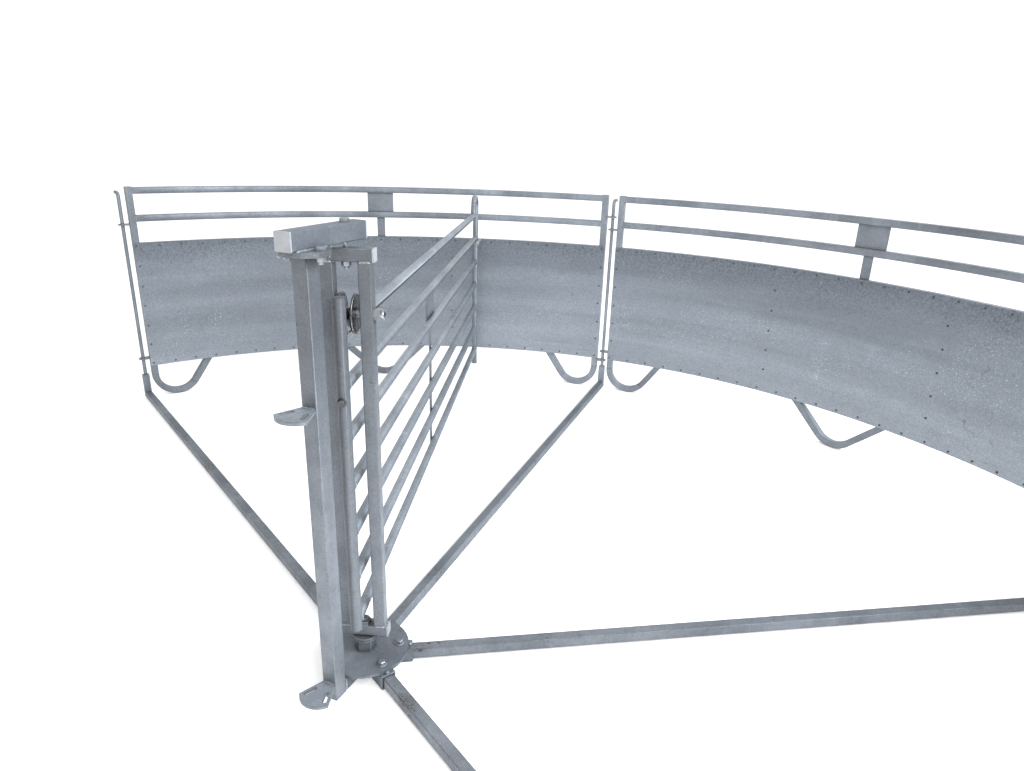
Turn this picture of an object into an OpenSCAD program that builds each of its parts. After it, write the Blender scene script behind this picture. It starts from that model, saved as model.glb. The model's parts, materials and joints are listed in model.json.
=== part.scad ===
// Livestock sweep: a half circle of sheeted fence panels held on ground spokes by a hub,
// with a pivoting frame on a centre post that carries a sliding railed gate.
// The origin lies on the ground under the pivot axis, +Y points to the middle of the fence.

/* [Fence] */
// Radius of the circle through the fence posts and rods
fence_r = 2400; // [2200:10:2700]
// Height of the fence
fence_h = 1050; // [1020:5:1120]
// Side of the square fence tube
tube = 30; // [26:1:32]
// Outer corner radius of the square tubes
tube_corner = 3; // [1:0.5:5]
// Height of the top face of the middle rail
mid_rail_top = 918; // [900:1:940]
// Height of the upper edge of the sheet
sheet_top = 787; // [740:1:810]
// Height of the lower edge of the sheet
sheet_bottom = 170; // [165:1:180]
// Thickness of the sheet
sheet_t = 2; // [1:0.5:3]
// Clearance between the sheet and the faces of its rails
sheet_seat = 0.02; // [0.01:0.01:0.05]
// Clear gap between the posts of neighbouring panels
joint_gap = 60; // [54:1:70]
// Bend radius of the foot loops, at the tube's centre line
foot_bend_r = 105; // [90:1:110]
// Rise of the sloping leg of an end foot, from level
end_foot_rise = 55; // [48:1:65]
// Rise of the sloping legs of a middle foot, from level
mid_foot_rise = 43; // [38:1:50]
// Angle from the middle of a panel to its stiffeners
stiffener_angle = 9.2; // [8:0.1:12]
// Width of the flat strap in the middle of a panel
strap_w = 41; // [30:1:60]
// Thickness of the flat strap
strap_t = 5; // [3:0.5:8]
// Width of the plate between the top rails
plate_w = 135; // [100:1:160]
// Thickness of the plate between the top rails
plate_t = 3; // [2:0.5:8]

/* [Eyes and rods] */
// Diameter of the joining rods
rod_d = 16; // [12:0.5:18]
// Height of the level handle on top of a rod
rod_top = 1022; // [1000:1:1030]
// Length of the rod handle from the rod's centre line
rod_handle = 54; // [45:1:80]
// Bend radius of the rod, at its centre line
rod_bend_r = 20; // [18:1:26]
// Radial clearance of a rod in its eyes and its socket
rod_clear = 0.5; // [0.3:0.1:1]
// Thickness of the eye plates
eye_t = 6; // [4:0.5:8]
// Width of the eye plates
eye_w = 38; // [30:1:42]
// Height of the upper eye on the left end of a panel, seen from the pivot
left_eye_upper = 873; // [860:1:885]
// Height of the lower eye on the left end of a panel
left_eye_lower = 207; // [195:1:230]
// Height of the upper eye on the right end of a panel
right_eye_upper = 937; // [925:1:955]
// Height of the lower eye on the right end of a panel
right_eye_lower = 157; // [148:1:175]
// Height of the top of the sockets on the spokes' ends
rod_socket_top = 125; // [90:1:130]

/* [Hub] */
// Side of the square spoke tube
spoke = 30; // [26:1:32]
// Side of the hub's square sockets
socket_side = 40; // [38:1:44]
// Clearance of a spoke in its socket, on each side
socket_clear = 0.3; // [0.2:0.1:0.6]
// Distance from the pivot to the inner end of a socket
socket_in = 45; // [45:1:55]
// Length of a socket
socket_len = 78; // [70:1:90]
// Diameter of the hub plate
hub_plate_d = 226; // [210:1:240]
// Thickness of the hub plate
hub_plate_t = 8; // [6:0.5:12]
// Diameter of the boss under the pivot
boss_d = 60; // [50:1:66]
// Diameter of the lower pivot bolt
pivot_d = 20; // [16:0.5:24]
// Thickness of the thrust washer
washer_t = 10; // [6:0.5:12]
// Diameter of the thrust washer
washer_d = 64; // [50:1:66]

/* [Centre post] */
// Side of the square post
post_side = 40; // [36:1:42]
// Distance from the pivot axis to the middle of the post
post_offset = 132; // [132:1:150]
// Diameter of the bolted flanges on the post
flange_d = 106; // [104:1:112]
// Thickness of each flange
flange_t = 6; // [5:0.5:8]
// Side of the square arm over the gate
arm_side = 40; // [34:1:44]
// Length of the arm past the middle of the post
arm_tail = 57; // [48:1:66]
// Length of the arm past the pivot axis
arm_nose = 48; // [40:1:60]
// Clear height between the swing frame and the arm
arm_gap = 13.5; // [11:0.5:18]
// Diameter of the upper pivot bolt
bolt_d = 12; // [10:0.5:14]
// Thickness of the lugs on the post
lug_t = 8; // [5:0.5:10]
// Reach of the lugs from the post's face
lug_reach = 82; // [76:1:90]
// Height of the lower face of the lower lug
lug_low = 40; // [34:1:60]
// Height of the lower face of the upper lug
lug_high = 770; // [740:1:780]

/* [Swing frame] */
// Side of the square frame tube
frame_tube = 30; // [26:1:32]
// Clear gap between the uprights
frame_gap = 55; // [52:1:62]
// Clear height over the roller, under the frame's top tube
roller_head = 68; // [55:1:80]
// Length by which the cross tubes stand past the uprights
frame_over = 3; // [1:0.5:6]
// Diameter of the roller
roller_d = 96; // [90:1:104]
// Radius of the roller at the bottom of its groove
groove_r = 12.5; // [12:0.5:18]
// Width of the roller
roller_w = 36; // [36:0.5:42]
// Diameter of the roller's axle bolt
axle_d = 16; // [12:0.5:18]
// Clearance of parts that turn or slide on each other
run_clear = 0.3; // [0.2:0.05:0.5]

/* [Gate] */
// Angle of the gate in plan at rest, from the +X axis
gate_angle = 137.5; // [137.5:0.5:150]
// Diameter of the gate's inner rails
rail_d = 27; // [24:0.5:27]
// Diameter of the bent tube that makes the top rail and the far stile
hoop_d = 28; // [28:0.5:30]
// Diameter of the near stile
stile_d = 29.5; // [29.5:0.5:32]
// Height of the lowest rail
rail_low = 180; // [175:1:190]
// Spacing of the rails
rail_pitch = 124.5; // [122:0.5:127]
// Distance from the pivot axis to the far stile
gate_reach = 2308; // [2000:4:2310]
// Distance from the pivot axis back to the near stile
stile_back = 70; // [68:1:76]
// Height of the near stile over the middle of the top rail
stile_over = 78; // [70:1:84]
// Length of the near stile under the middle of the lowest rail
stile_under = 22; // [18:1:36]
// Rise of the hump on the far end over the top rail
hump_rise = 88; // [84:1:100]
// Bend radius at the top of the hump, at the tube's centre line
hump_r = 40; // [34:1:44]
// Lean of the hump's leg from the vertical
hump_lean = 22; // [16:1:30]
// Drop of the far stile under the lowest rail
stile_drop = 80; // [60:1:85]
// Distance from the pivot axis to the flat brace
brace_at = 1050; // [1000:5:1200]
// Width of the flat brace
brace_w = 30; // [20:1:40]
// Thickness of the flat brace and its plate
brace_t = 4; // [3:0.5:6]
// Diameter of the latch bolt
latch_d = 12; // [10:0.5:14]
// Length of the latch bolt's guide tube
latch_len = 80; // [60:1:100]

/* [Hidden] */
$fn = 48;

zinc = "#9aa3ae";
sheet_grey = "#8d97a3";
cap_grey = "#c9cdd3";
bright = "#b8bfc8";

panel_angle = 60;
spoke_angles = [180, 120, 60, 0];
panel_angles = [150, 90, 30];
post_bearing = 297;

post_turn = asin((joint_gap + tube) / 2 / fence_r);
sheet_turn = asin(joint_gap / 2 / fence_r);
rod_shift = [fence_r * cos(post_turn) - fence_r, fence_r * sin(post_turn)];
foot_z = foot_bend_r + tube / 2;
sheet_r = fence_r - tube / 2 - sheet_seat;
top_rail = fence_h - 3;

socket_wall = (socket_side - spoke) / 2 - socket_clear;
spoke_z = socket_wall + socket_clear;
spoke_end_gap = 5;
hub_top = socket_side + hub_plate_t;
hub_tongue = 90;
boss_gap = 2;
pivot_depth = 24;
low_nut_h = 34;
low_nut_af = 50;
top_nut_h = 11;
top_nut_af = 30;
bolt_end = 6;

rail_count = 7;
rail_top = rail_low + (rail_count - 1) * rail_pitch;
roller_z = rail_top + hoop_d / 2 + run_clear + groove_r;

frame_z = hub_top + low_nut_h + washer_t + run_clear;
frame_top = roller_z + roller_d / 2 + roller_head + frame_tube;
upright_z = frame_z + frame_tube;
upright_h = frame_top - frame_tube - upright_z;
upright_y = (frame_gap + frame_tube) / 2;
cross_len = frame_gap + 2 * (frame_tube + frame_over);

arm_z = frame_top + arm_gap;
post_h = arm_z - 2 * flange_t;
cap_t = 4;
bolt_af = 19;
bolt_head_h = 8;
bolt_nut_h = 10;
flange_bolt_at = flange_d / 2 - bolt_af / 2 - 4;
lug_root = 18;
lug_flare = 22.6;
lug_round_at = 30;
slot_w = 9;
slot_len = 34;
slot_in = 11;
slot_at = 42;

steep = 90 - hump_lean;
crown = [gate_reach - hump_r, rail_top + hump_rise - hump_r];
leg_top = crown + hump_r * [-sin(steep), cos(steep)];
leg_len = (leg_top[1] - rail_top) / sin(steep);
hump_start = leg_top[0] - leg_len * cos(steep);
guide_d = 22;
knob_t = 8;
latch_nose = 25;
latch_clear = 2;
latch_y = -(hoop_d / 2 + latch_d / 2 + latch_clear);
latch_drop = sqrt(pow((rail_d + guide_d) / 2, 2) - pow(latch_y, 2));
latch_z = rail_low + (rail_count - 2) * rail_pitch - latch_drop;
latch_start = gate_reach - hoop_d - latch_len;
roller_rim = 2.5;
axle_af = 24;
axle_head_h = 10;
axle_nut_h = 15;
spacer_d = 26;

// Outline of a square tube with round corners
module square_tube_outline(side, corner) {
  square([side - 2 * corner, side], center = true);
  square([side, side - 2 * corner], center = true);
  for (x = [-1, 1], y = [-1, 1])
    translate([x, y] * (side / 2 - corner)) circle(corner);
}

// Upright square tube on the plane z = 0
module square_tube(side, length) {
  linear_extrude(length) square_tube_outline(side, tube_corner);
}

// Hexagon head or nut on the plane z = 0, with its flats at the given distance
module hexagon(across_flats, height) {
  cylinder(d = across_flats / cos(30), h = height, $fn = 6);
}

// Puts children on the fence circle: +X points outwards, +Y along the fence
module on_fence(angle) {
  rotate([0, 0, angle]) translate([fence_r, 0, 0]) children();
}

// Puts children in the gate's frame: +X points along the gate, +Y across it
module on_gate() {
  rotate([0, 0, gate_angle]) children();
}

// Stands a plane outline up across the fence circle: outline x runs along the fence, y upwards
module standing_tube() {
  translate([-tube / 2, 0, 0]) rotate([90, 0, 90]) linear_extrude(tube) children();
}

// Points far out round the origin between two bearings, for a sector
function far_points(from, to) =
  let (steps = 6, far = 4 * foot_bend_r)
  [for (i = [0:steps]) let (a = from + (to - from) * i / steps) far * [cos(a), sin(a)]];

// Disc round the origin with a band as wide as its radius, which leaves it along a sloping leg
module bend_and_leg(radius, rise) {
  circle(radius, $fn = 96);
  rotate(180 - rise) square([2 * sheet_bottom, radius]);
}

// Outline of a foot loop round the middle of its bend: the bend and one sloping leg, which meets the
// sheet's lower rail; the other end of the bend has the given bearing
module foot_outline(rise, end) {
  translate([0, foot_z]) intersection() {
    difference() {
      bend_and_leg(foot_bend_r + tube / 2, rise);
      bend_and_leg(foot_bend_r - tube / 2, rise);
    }
    polygon(concat([[0, 0]], far_points(end, -180 - rise)));
    translate([-fence_r / 2, -foot_z]) square([fence_r, sheet_bottom]);
  }
}

// Puts children at both posts of a panel, mirrored so that +Y points out of the panel
module at_posts(angle) {
  on_fence(angle + panel_angle / 2 - post_turn) children();
  on_fence(angle - panel_angle / 2 + post_turn) mirror([0, 1, 0]) children();
}

module panel_posts(angle) {
  color(zinc) at_posts(angle) standing_tube()
    translate([-tube / 2, foot_z]) square([tube, fence_h - foot_z]);
}

// Foot loops under the posts, running back to the sheet's lower rail
module panel_end_feet(angle) {
  color(zinc) at_posts(angle) standing_tube() translate([-foot_bend_r, 0]) foot_outline(end_foot_rise, 0);
}

// Curved square tube between the two posts of a panel, with its lower face at the given height
module curved_rail(angle, height) {
  half = panel_angle / 2 - post_turn;
  difference() {
    rotate([0, 0, angle - half]) rotate_extrude(angle = 2 * half, $fn = 360)
      translate([fence_r - tube / 2, height]) square(tube);
    for (side = [-1, 1])
      on_fence(angle + side * half) translate([-tube, -tube / 2, height - tube])
        cube([2 * tube, tube, 3 * tube]);
  }
}

module panel_rails(angle) {
  color(zinc)
    for (height = [top_rail - tube, mid_rail_top - tube, sheet_top - tube, sheet_bottom])
      curved_rail(angle, height);
}

module panel_sheet(angle) {
  half = panel_angle / 2 - sheet_turn;
  color(sheet_grey)
    rotate([0, 0, angle - half]) rotate_extrude(angle = 2 * half, $fn = 360)
      translate([sheet_r - sheet_t, sheet_bottom]) square([sheet_t, sheet_top - sheet_bottom]);
}

// Stiffeners behind the sheet, and the strap and plate between the top rails
module panel_uprights(angle) {
  color(zinc) {
    for (side = [-1, 1])
      on_fence(angle + side * stiffener_angle) translate([0, 0, sheet_bottom + tube])
        square_tube(tube, sheet_top - sheet_bottom - 2 * tube);
    on_fence(angle) {
      translate([-strap_t / 2, -strap_w / 2, sheet_top])
        cube([strap_t, strap_w, mid_rail_top - tube - sheet_top]);
      translate([-plate_t / 2, -plate_w / 2, mid_rail_top])
        cube([plate_t, plate_w, top_rail - tube - mid_rail_top]);
    }
  }
}

module panel_middle_foot(angle) {
  color(zinc) on_fence(angle) standing_tube()
    for (side = [0, 1]) mirror([side, 0]) foot_outline(mid_foot_rise, -90);
}

// Eye plate on a post's outer face, around the rod of the joint on the +Y side
module eye() {
  linear_extrude(eye_t) difference() {
    union() {
      translate([rod_shift[0] - eye_w / 2, tube / 2]) square([eye_w, rod_shift[1] - tube / 2]);
      translate(rod_shift) circle(eye_w / 2);
    }
    translate(rod_shift) circle(rod_d / 2 + rod_clear);
  }
}

module panel_eyes(angle) {
  color(zinc) {
    for (height = [left_eye_upper, left_eye_lower])
      on_fence(angle + panel_angle / 2 - post_turn) translate([0, 0, height]) eye();
    for (height = [right_eye_upper, right_eye_lower])
      on_fence(angle - panel_angle / 2 + post_turn) translate([0, 0, height]) mirror([0, 1, 0]) eye();
  }
}

module joint_rods() {
  low = spoke_z + spoke;
  color(bright)
    for (angle = spoke_angles) on_fence(angle) {
      translate([0, 0, low]) cylinder(d = rod_d, h = rod_top - rod_bend_r - low);
      translate([rod_bend_r, 0, rod_top - rod_bend_r]) rotate([90, 0, 0]) rotate([0, 0, 90])
        rotate_extrude(angle = 90) translate([rod_bend_r, 0]) circle(rod_d / 2);
      translate([rod_bend_r, 0, rod_top]) rotate([0, 90, 0])
        cylinder(d = rod_d, h = rod_handle - rod_bend_r);
    }
}

// Half space on one side of the mitre between a spoke and its rod socket
module mitre_cut(side) {
  size = 4 * spoke;
  translate([fence_r + spoke / 2, 0, spoke_z]) rotate([0, -45, 0])
    translate([side > 0 ? 0 : -size, -size / 2, -size / 2]) cube(size);
}

module spoke(angle) {
  start = socket_in + spoke_end_gap;
  color(zinc) rotate([0, 0, angle]) difference() {
    translate([start, 0, spoke_z + spoke / 2]) rotate([0, 90, 0])
      square_tube(spoke, fence_r + spoke / 2 - start);
    mitre_cut(1);
  }
}

module rod_sockets() {
  color(zinc) for (angle = spoke_angles) rotate([0, 0, angle]) difference() {
    translate([fence_r, 0, spoke_z]) square_tube(spoke, rod_socket_top - spoke_z);
    mitre_cut(-1);
    translate([fence_r, 0, spoke_z + spoke]) cylinder(r = rod_d / 2 + rod_clear, h = rod_socket_top);
  }
}

module hub_plate() {
  reach = post_offset - post_side / 2;
  color(zinc) translate([0, 0, socket_side]) linear_extrude(hub_plate_t) difference() {
    union() {
      circle(d = hub_plate_d, $fn = 96);
      rotate(post_bearing) translate([0, -hub_tongue / 2]) square([reach, hub_tongue]);
    }
    rotate(post_bearing) translate([reach, -hub_tongue]) square([hub_plate_d, 2 * hub_tongue]);
    circle(pivot_d / 2 + run_clear);
  }
}

module hub_boss() {
  color(zinc) difference() {
    cylinder(d = boss_d, h = socket_side);
    translate([0, 0, socket_side - pivot_depth]) cylinder(r = pivot_d / 2 + run_clear, h = socket_side);
  }
}

module hub_sockets() {
  inner = spoke + 2 * socket_clear;
  color(zinc) for (angle = spoke_angles) rotate([0, 0, angle]) translate([socket_in, 0, 0]) difference() {
    translate([0, -socket_side / 2, 0]) cube([socket_len, socket_side, socket_side]);
    translate([-1, -inner / 2, socket_wall]) cube([socket_len + 2, inner, inner]);
  }
}

module post_foot_beam() {
  start = boss_d / 2 + boss_gap;
  color(zinc) rotate([0, 0, post_bearing]) translate([start, -post_side / 2, 0])
    cube([post_offset - post_side / 2 - start, post_side, socket_side]);
}

// Pivot bolt through the hub, with the thrust nut and washer under the frame and a nut on top of it
module lower_pivot() {
  top = upright_z + run_clear;
  color(bright) {
    translate([0, 0, socket_side - pivot_depth])
      cylinder(d = pivot_d, h = top + top_nut_h + bolt_end - socket_side + pivot_depth);
    translate([0, 0, hub_top]) hexagon(low_nut_af, low_nut_h);
    translate([0, 0, hub_top + low_nut_h]) cylinder(d = washer_d, h = washer_t);
    translate([0, 0, top]) hexagon(top_nut_af, top_nut_h);
  }
}

// Puts children on the post's centre line: +X points away from the pivot
module on_post() {
  rotate([0, 0, post_bearing]) translate([post_offset, 0, 0]) children();
}

module centre_post() {
  color(zinc) on_post() square_tube(post_side, post_h);
}

module flange() {
  difference() {
    cylinder(d = flange_d, h = flange_t, $fn = 96);
    for (side = [-1, 1])
      translate([0, side * flange_bolt_at, -1]) cylinder(r = bolt_d / 2 + run_clear, h = flange_t + 2);
  }
}

module post_flange() {
  color(zinc) on_post() translate([0, 0, post_h]) flange();
}

module arm_flange() {
  color(zinc) on_post() translate([0, 0, post_h + flange_t]) flange();
}

module flange_bolts() {
  color(bright) on_post() for (side = [-1, 1]) translate([0, side * flange_bolt_at, 0]) {
    translate([0, 0, arm_z]) hexagon(bolt_af, bolt_head_h);
    translate([0, 0, post_h - bolt_nut_h]) hexagon(bolt_af, bolt_nut_h);
    translate([0, 0, post_h - bolt_nut_h - bolt_end])
      cylinder(d = bolt_d, h = arm_z - post_h + bolt_nut_h + 2 * bolt_end);
  }
}

module top_arm() {
  length = arm_nose + post_offset + arm_tail;
  color(zinc) rotate([0, 0, post_bearing]) difference() {
    translate([-arm_nose, 0, arm_z + arm_side / 2]) rotate([0, 90, 0]) square_tube(arm_side, length);
    translate([0, 0, arm_z - 1]) cylinder(r = bolt_d / 2 + run_clear, h = arm_side + 2);
  }
}

// Plastic end caps on both ends of the arm
module arm_caps() {
  color(cap_grey) rotate([0, 0, post_bearing])
    for (x = [-arm_nose - cap_t, post_offset + arm_tail])
      translate([x, 0, arm_z + arm_side / 2]) rotate([0, 90, 0]) square_tube(arm_side, cap_t);
}

// Bolt through the arm and the frame's top tube
module upper_pivot() {
  low = frame_top - frame_tube - run_clear;
  color(bright) {
    translate([0, 0, arm_z + arm_side]) hexagon(bolt_af, bolt_head_h);
    translate([0, 0, low - bolt_nut_h]) hexagon(bolt_af, bolt_nut_h);
    translate([0, 0, low - bolt_nut_h - bolt_end])
      cylinder(d = bolt_d, h = arm_z + arm_side + bolt_head_h / 2 - low + bolt_nut_h + bolt_end);
  }
}

// Slot along one flared side of a lug
module lug_slot() {
  inset = slot_in / cos(lug_flare);
  translate([slot_at, lug_root + slot_at * tan(lug_flare) - inset]) rotate(lug_flare) {
    square([slot_len - slot_w, slot_w], center = true);
    for (end = [-1, 1]) translate([end * (slot_len - slot_w) / 2, 0]) circle(slot_w / 2);
  }
}

// Fan-shaped plate on the post's outer face, with a slot along each flared side
module lug() {
  wide = lug_root + lug_reach * tan(lug_flare);
  linear_extrude(lug_t) difference() {
    intersection() {
      polygon([[0, -lug_root], [lug_reach, -wide], [lug_reach, wide], [0, lug_root]]);
      translate([lug_round_at, 0]) circle(lug_reach - lug_round_at);
    }
    lug_slot();
    mirror([0, 1]) lug_slot();
  }
}

module post_lugs() {
  color(zinc) on_post() for (height = [lug_low, lug_high]) translate([post_side / 2, 0, height]) lug();
}

module frame_uprights() {
  color(zinc) on_gate() difference() {
    for (side = [-1, 1]) translate([0, side * upright_y, upright_z]) square_tube(frame_tube, upright_h);
    translate([0, cross_len, roller_z]) rotate([90, 0, 0])
      cylinder(r = axle_d / 2 + run_clear, h = 2 * cross_len);
  }
}

// Cross tube of the frame with a bore on the pivot axis, lower face at z = 0
module cross_tube(bolt) {
  difference() {
    translate([0, cross_len / 2, frame_tube / 2]) rotate([90, 0, 0]) square_tube(frame_tube, cross_len);
    translate([0, 0, -1]) cylinder(r = bolt / 2 + run_clear, h = frame_tube + 2);
  }
}

module frame_top_tube() {
  color(zinc) on_gate() translate([0, 0, frame_top - frame_tube]) cross_tube(bolt_d);
}

module frame_bottom_tube() {
  color(zinc) on_gate() translate([0, 0, frame_z]) cross_tube(pivot_d);
}

// Plastic end caps on the cross tubes
module frame_caps() {
  color(cap_grey) on_gate() for (height = [frame_z, frame_top - frame_tube], side = [0, 1])
    mirror([0, side, 0]) translate([0, cross_len / 2 + cap_t, height + frame_tube / 2]) rotate([90, 0, 0])
      square_tube(frame_tube, cap_t);
}

// Axle bolt with its head, its domed nut and the spacers beside the roller
module roller_axle() {
  half = frame_gap / 2 + frame_tube;
  spacer = (frame_gap - roller_w) / 2 - run_clear;
  color(bright) on_gate() translate([0, 0, roller_z]) rotate([90, 0, 0]) {
    translate([0, 0, -half]) cylinder(d = axle_d, h = 2 * half);
    translate([0, 0, -half - axle_head_h]) hexagon(axle_af, axle_head_h);
    translate([0, 0, half]) hexagon(axle_af, axle_nut_h);
    translate([0, 0, half + axle_nut_h]) intersection() {
      sphere(axle_af / 2 - 1);
      cylinder(d = axle_af, h = axle_af);
    }
    for (side = [0, 1]) mirror([0, 0, side])
      translate([0, 0, frame_gap / 2 - spacer]) cylinder(d = spacer_d, h = spacer);
  }
}

// Deep-grooved roller that rides on the gate's top rail
module roller() {
  rim = roller_d / 2;
  centre = groove_r + run_clear + hoop_d / 2;
  round_r = hoop_d / 2 + run_clear;
  color(bright) on_gate() translate([0, 0, roller_z]) rotate([90, 0, 0])
    rotate_extrude($fn = 96) difference() {
    translate([axle_d / 2 + run_clear, -roller_w / 2]) square([rim - axle_d / 2 - run_clear, roller_w]);
    translate([centre, 0]) circle(round_r);
    polygon([[centre, -round_r], [rim + 1, -(roller_w / 2 - roller_rim)],
      [rim + 1, roller_w / 2 - roller_rim], [centre, round_r]]);
  }
}

// Half space on one side of the mitre between the top rail and the hump's leg
module hump_cut(side) {
  size = 8 * hoop_d;
  translate([hump_start, 0, rail_top]) rotate([0, -steep / 2, 0])
    translate([side > 0 ? 0 : -size, -size / 2, -size / 2]) cube(size);
}

// Top rail, coped to the near stile and mitred where the hump begins
module gate_top_rail() {
  color(zinc) on_gate() difference() {
    translate([-stile_back, 0, rail_top]) rotate([0, 90, 0])
      cylinder(d = hoop_d, h = hump_start + stile_back + hoop_d);
    near_stile();
    hump_cut(1);
  }
}

// Leg that carries the top rail up to the bend over the far stile
module gate_hump_leg() {
  color(zinc) on_gate() difference() {
    translate([leg_top[0], 0, leg_top[1]]) rotate([0, hump_lean + 180, 0])
      cylinder(d = hoop_d, h = leg_len + hoop_d);
    hump_cut(-1);
  }
}

module gate_hump_bend() {
  color(zinc) on_gate() translate([crown[0], 0, crown[1]]) rotate([90, 0, 0])
    rotate_extrude(angle = 90 + steep) translate([hump_r, 0]) circle(hoop_d / 2);
}

module gate_far_stile() {
  color(zinc) on_gate() far_stile(crown[1]);
}

// Straight part of the far stile up to the given height
module far_stile(top) {
  translate([gate_reach, 0, rail_low - stile_drop]) cylinder(d = hoop_d, h = top - rail_low + stile_drop);
}

module near_stile() {
  translate([-stile_back, 0, rail_low - stile_under])
    cylinder(d = stile_d, h = rail_top - rail_low + stile_over + stile_under);
}

// Inner rails, coped to the stiles
module gate_rails() {
  color(zinc) on_gate() for (i = [0:rail_count - 2]) difference() {
    translate([-stile_back, 0, rail_low + i * rail_pitch]) rotate([0, 90, 0])
      cylinder(d = rail_d, h = gate_reach + stile_back);
    near_stile();
    far_stile(rail_top);
  }
}

module gate_near_stile() {
  color(zinc) on_gate() near_stile();
}

// Flat brace on the side of the lower rails, widened to a plate between the second and third rails
module gate_brace() {
  low = rail_low - rail_d / 2;
  third = rail_low + (rail_count - 3) * rail_pitch;
  color(zinc) on_gate() translate([brace_at, rail_d / 2 + brace_t, 0]) rotate([90, 0, 0])
    linear_extrude(brace_t) {
    translate([-brace_w / 2, low]) square([brace_w, third - low]);
    translate([-plate_w / 2, third]) square([plate_w, rail_pitch]);
  }
}

// Guide of the latch bolt, under the second rail and to one side of it
module latch_guide() {
  color(zinc) on_gate() translate([latch_start, latch_y, latch_z]) rotate([0, 90, 0]) difference() {
    cylinder(d = guide_d, h = latch_len);
    translate([0, 0, -1]) cylinder(r = latch_d / 2 + run_clear, h = latch_len + 2);
  }
}

// Sliding latch bolt with a knob on its inner end; its nose passes beside the far stile
module latch_bolt() {
  color(bright) on_gate() translate([latch_start - run_clear, latch_y, latch_z]) rotate([0, 90, 0]) {
    cylinder(d = latch_d, h = run_clear + latch_len + 1.5 * hoop_d + latch_nose);
    translate([0, 0, -knob_t]) cylinder(d = guide_d, h = knob_t);
  }
}

hub_plate();
hub_boss();
hub_sockets();
post_foot_beam();
lower_pivot();
centre_post();
post_flange();
top_arm();
arm_flange();
arm_caps();
flange_bolts();
upper_pivot();
post_lugs();
spoke(spoke_angles[0]);  // spoke_1
spoke(spoke_angles[1]);  // spoke_2
spoke(spoke_angles[2]);  // spoke_3
spoke(spoke_angles[3]);  // spoke_4
rod_sockets();
joint_rods();
panel_posts(panel_angles[0]);  // panel_1_posts
panel_end_feet(panel_angles[0]);  // panel_1_end_feet
panel_rails(panel_angles[0]);  // panel_1_rails
panel_sheet(panel_angles[0]);  // panel_1_sheet
panel_uprights(panel_angles[0]);  // panel_1_uprights
panel_middle_foot(panel_angles[0]);  // panel_1_middle_foot
panel_eyes(panel_angles[0]);  // panel_1_eyes
panel_posts(panel_angles[1]);  // panel_2_posts
panel_end_feet(panel_angles[1]);  // panel_2_end_feet
panel_rails(panel_angles[1]);  // panel_2_rails
panel_sheet(panel_angles[1]);  // panel_2_sheet
panel_uprights(panel_angles[1]);  // panel_2_uprights
panel_middle_foot(panel_angles[1]);  // panel_2_middle_foot
panel_eyes(panel_angles[1]);  // panel_2_eyes
panel_posts(panel_angles[2]);  // panel_3_posts
panel_end_feet(panel_angles[2]);  // panel_3_end_feet
panel_rails(panel_angles[2]);  // panel_3_rails
panel_sheet(panel_angles[2]);  // panel_3_sheet
panel_uprights(panel_angles[2]);  // panel_3_uprights
panel_middle_foot(panel_angles[2]);  // panel_3_middle_foot
panel_eyes(panel_angles[2]);  // panel_3_eyes
frame_uprights();
frame_top_tube();
frame_bottom_tube();
frame_caps();
roller_axle();
roller();
gate_top_rail();
gate_hump_leg();
gate_hump_bend();
gate_far_stile();
gate_rails();
gate_near_stile();
gate_brace();
latch_guide();
latch_bolt();
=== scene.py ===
# Looks of the livestock sweep: galvanised finishes, fasteners, weld beads, floor, light and camera.
import json
import math
import random

import bmesh
import bpy
from mathutils import Matrix, Vector


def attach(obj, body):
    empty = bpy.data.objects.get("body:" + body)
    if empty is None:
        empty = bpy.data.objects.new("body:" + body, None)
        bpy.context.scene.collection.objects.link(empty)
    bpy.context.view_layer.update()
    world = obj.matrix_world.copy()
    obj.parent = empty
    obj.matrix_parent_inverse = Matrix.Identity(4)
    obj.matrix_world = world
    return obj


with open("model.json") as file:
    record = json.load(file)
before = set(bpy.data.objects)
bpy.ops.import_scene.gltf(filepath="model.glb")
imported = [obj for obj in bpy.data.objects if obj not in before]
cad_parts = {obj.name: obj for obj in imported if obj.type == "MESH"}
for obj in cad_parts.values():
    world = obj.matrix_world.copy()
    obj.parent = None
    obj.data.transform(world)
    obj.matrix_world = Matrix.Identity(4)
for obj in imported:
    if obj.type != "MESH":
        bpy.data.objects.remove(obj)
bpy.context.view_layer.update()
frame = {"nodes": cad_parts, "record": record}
rng = random.Random(11)

# Sizes of the fence, repeated from the part's source, in metres and degrees
FENCE_R = 2.400
TUBE = 0.030
HALF_TUBE = TUBE / 2
SHEET_THICK = 0.002
SHEET_R = FENCE_R - HALF_TUBE - SHEET_THICK
SHEET_LOW, SHEET_HIGH = 0.170, 0.787
PANEL_ANGLES, HALF_PANEL = (150, 90, 30), 30
SPOKE_ANGLES = (180, 120, 60, 0)
STIFFENER_ANGLE = 9.2
POST_INSET = 0.045
POST_TURN = math.degrees(math.asin(POST_INSET / FENCE_R))
PANEL_RAILS = (1.017, 0.888, 0.757, 0.170)
EYE_LEVELS = {1: (0.873, 0.207), -1: (0.937, 0.157)}
FOOT_SLOPE, FOOT_BEND, FOOT_DROP = math.radians(55), 0.105, 0.050

# Sizes of the hub, post and swing frame
HUB_TOP, SOCKET_TOP = 0.048, 0.040
POST_BEARING, POST_OFFSET = 297, 0.132
HALF_POST = 0.040 / 2
POST_TOP, ARM_Z, FLANGE_R = 1.1013, 1.1133, 0.053
LUG_TOPS, LUG_THICK = (0.048, 0.778), 0.008
FRAME_GAP, FRAME_Z, FRAME_TOP = 0.055, 0.0923, 1.0998
ROLLER_Z, ROLLER_HALF = 0.9538, 0.018
NUT_FACE, AXLE_END = 0.0725, 0.0790

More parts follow.
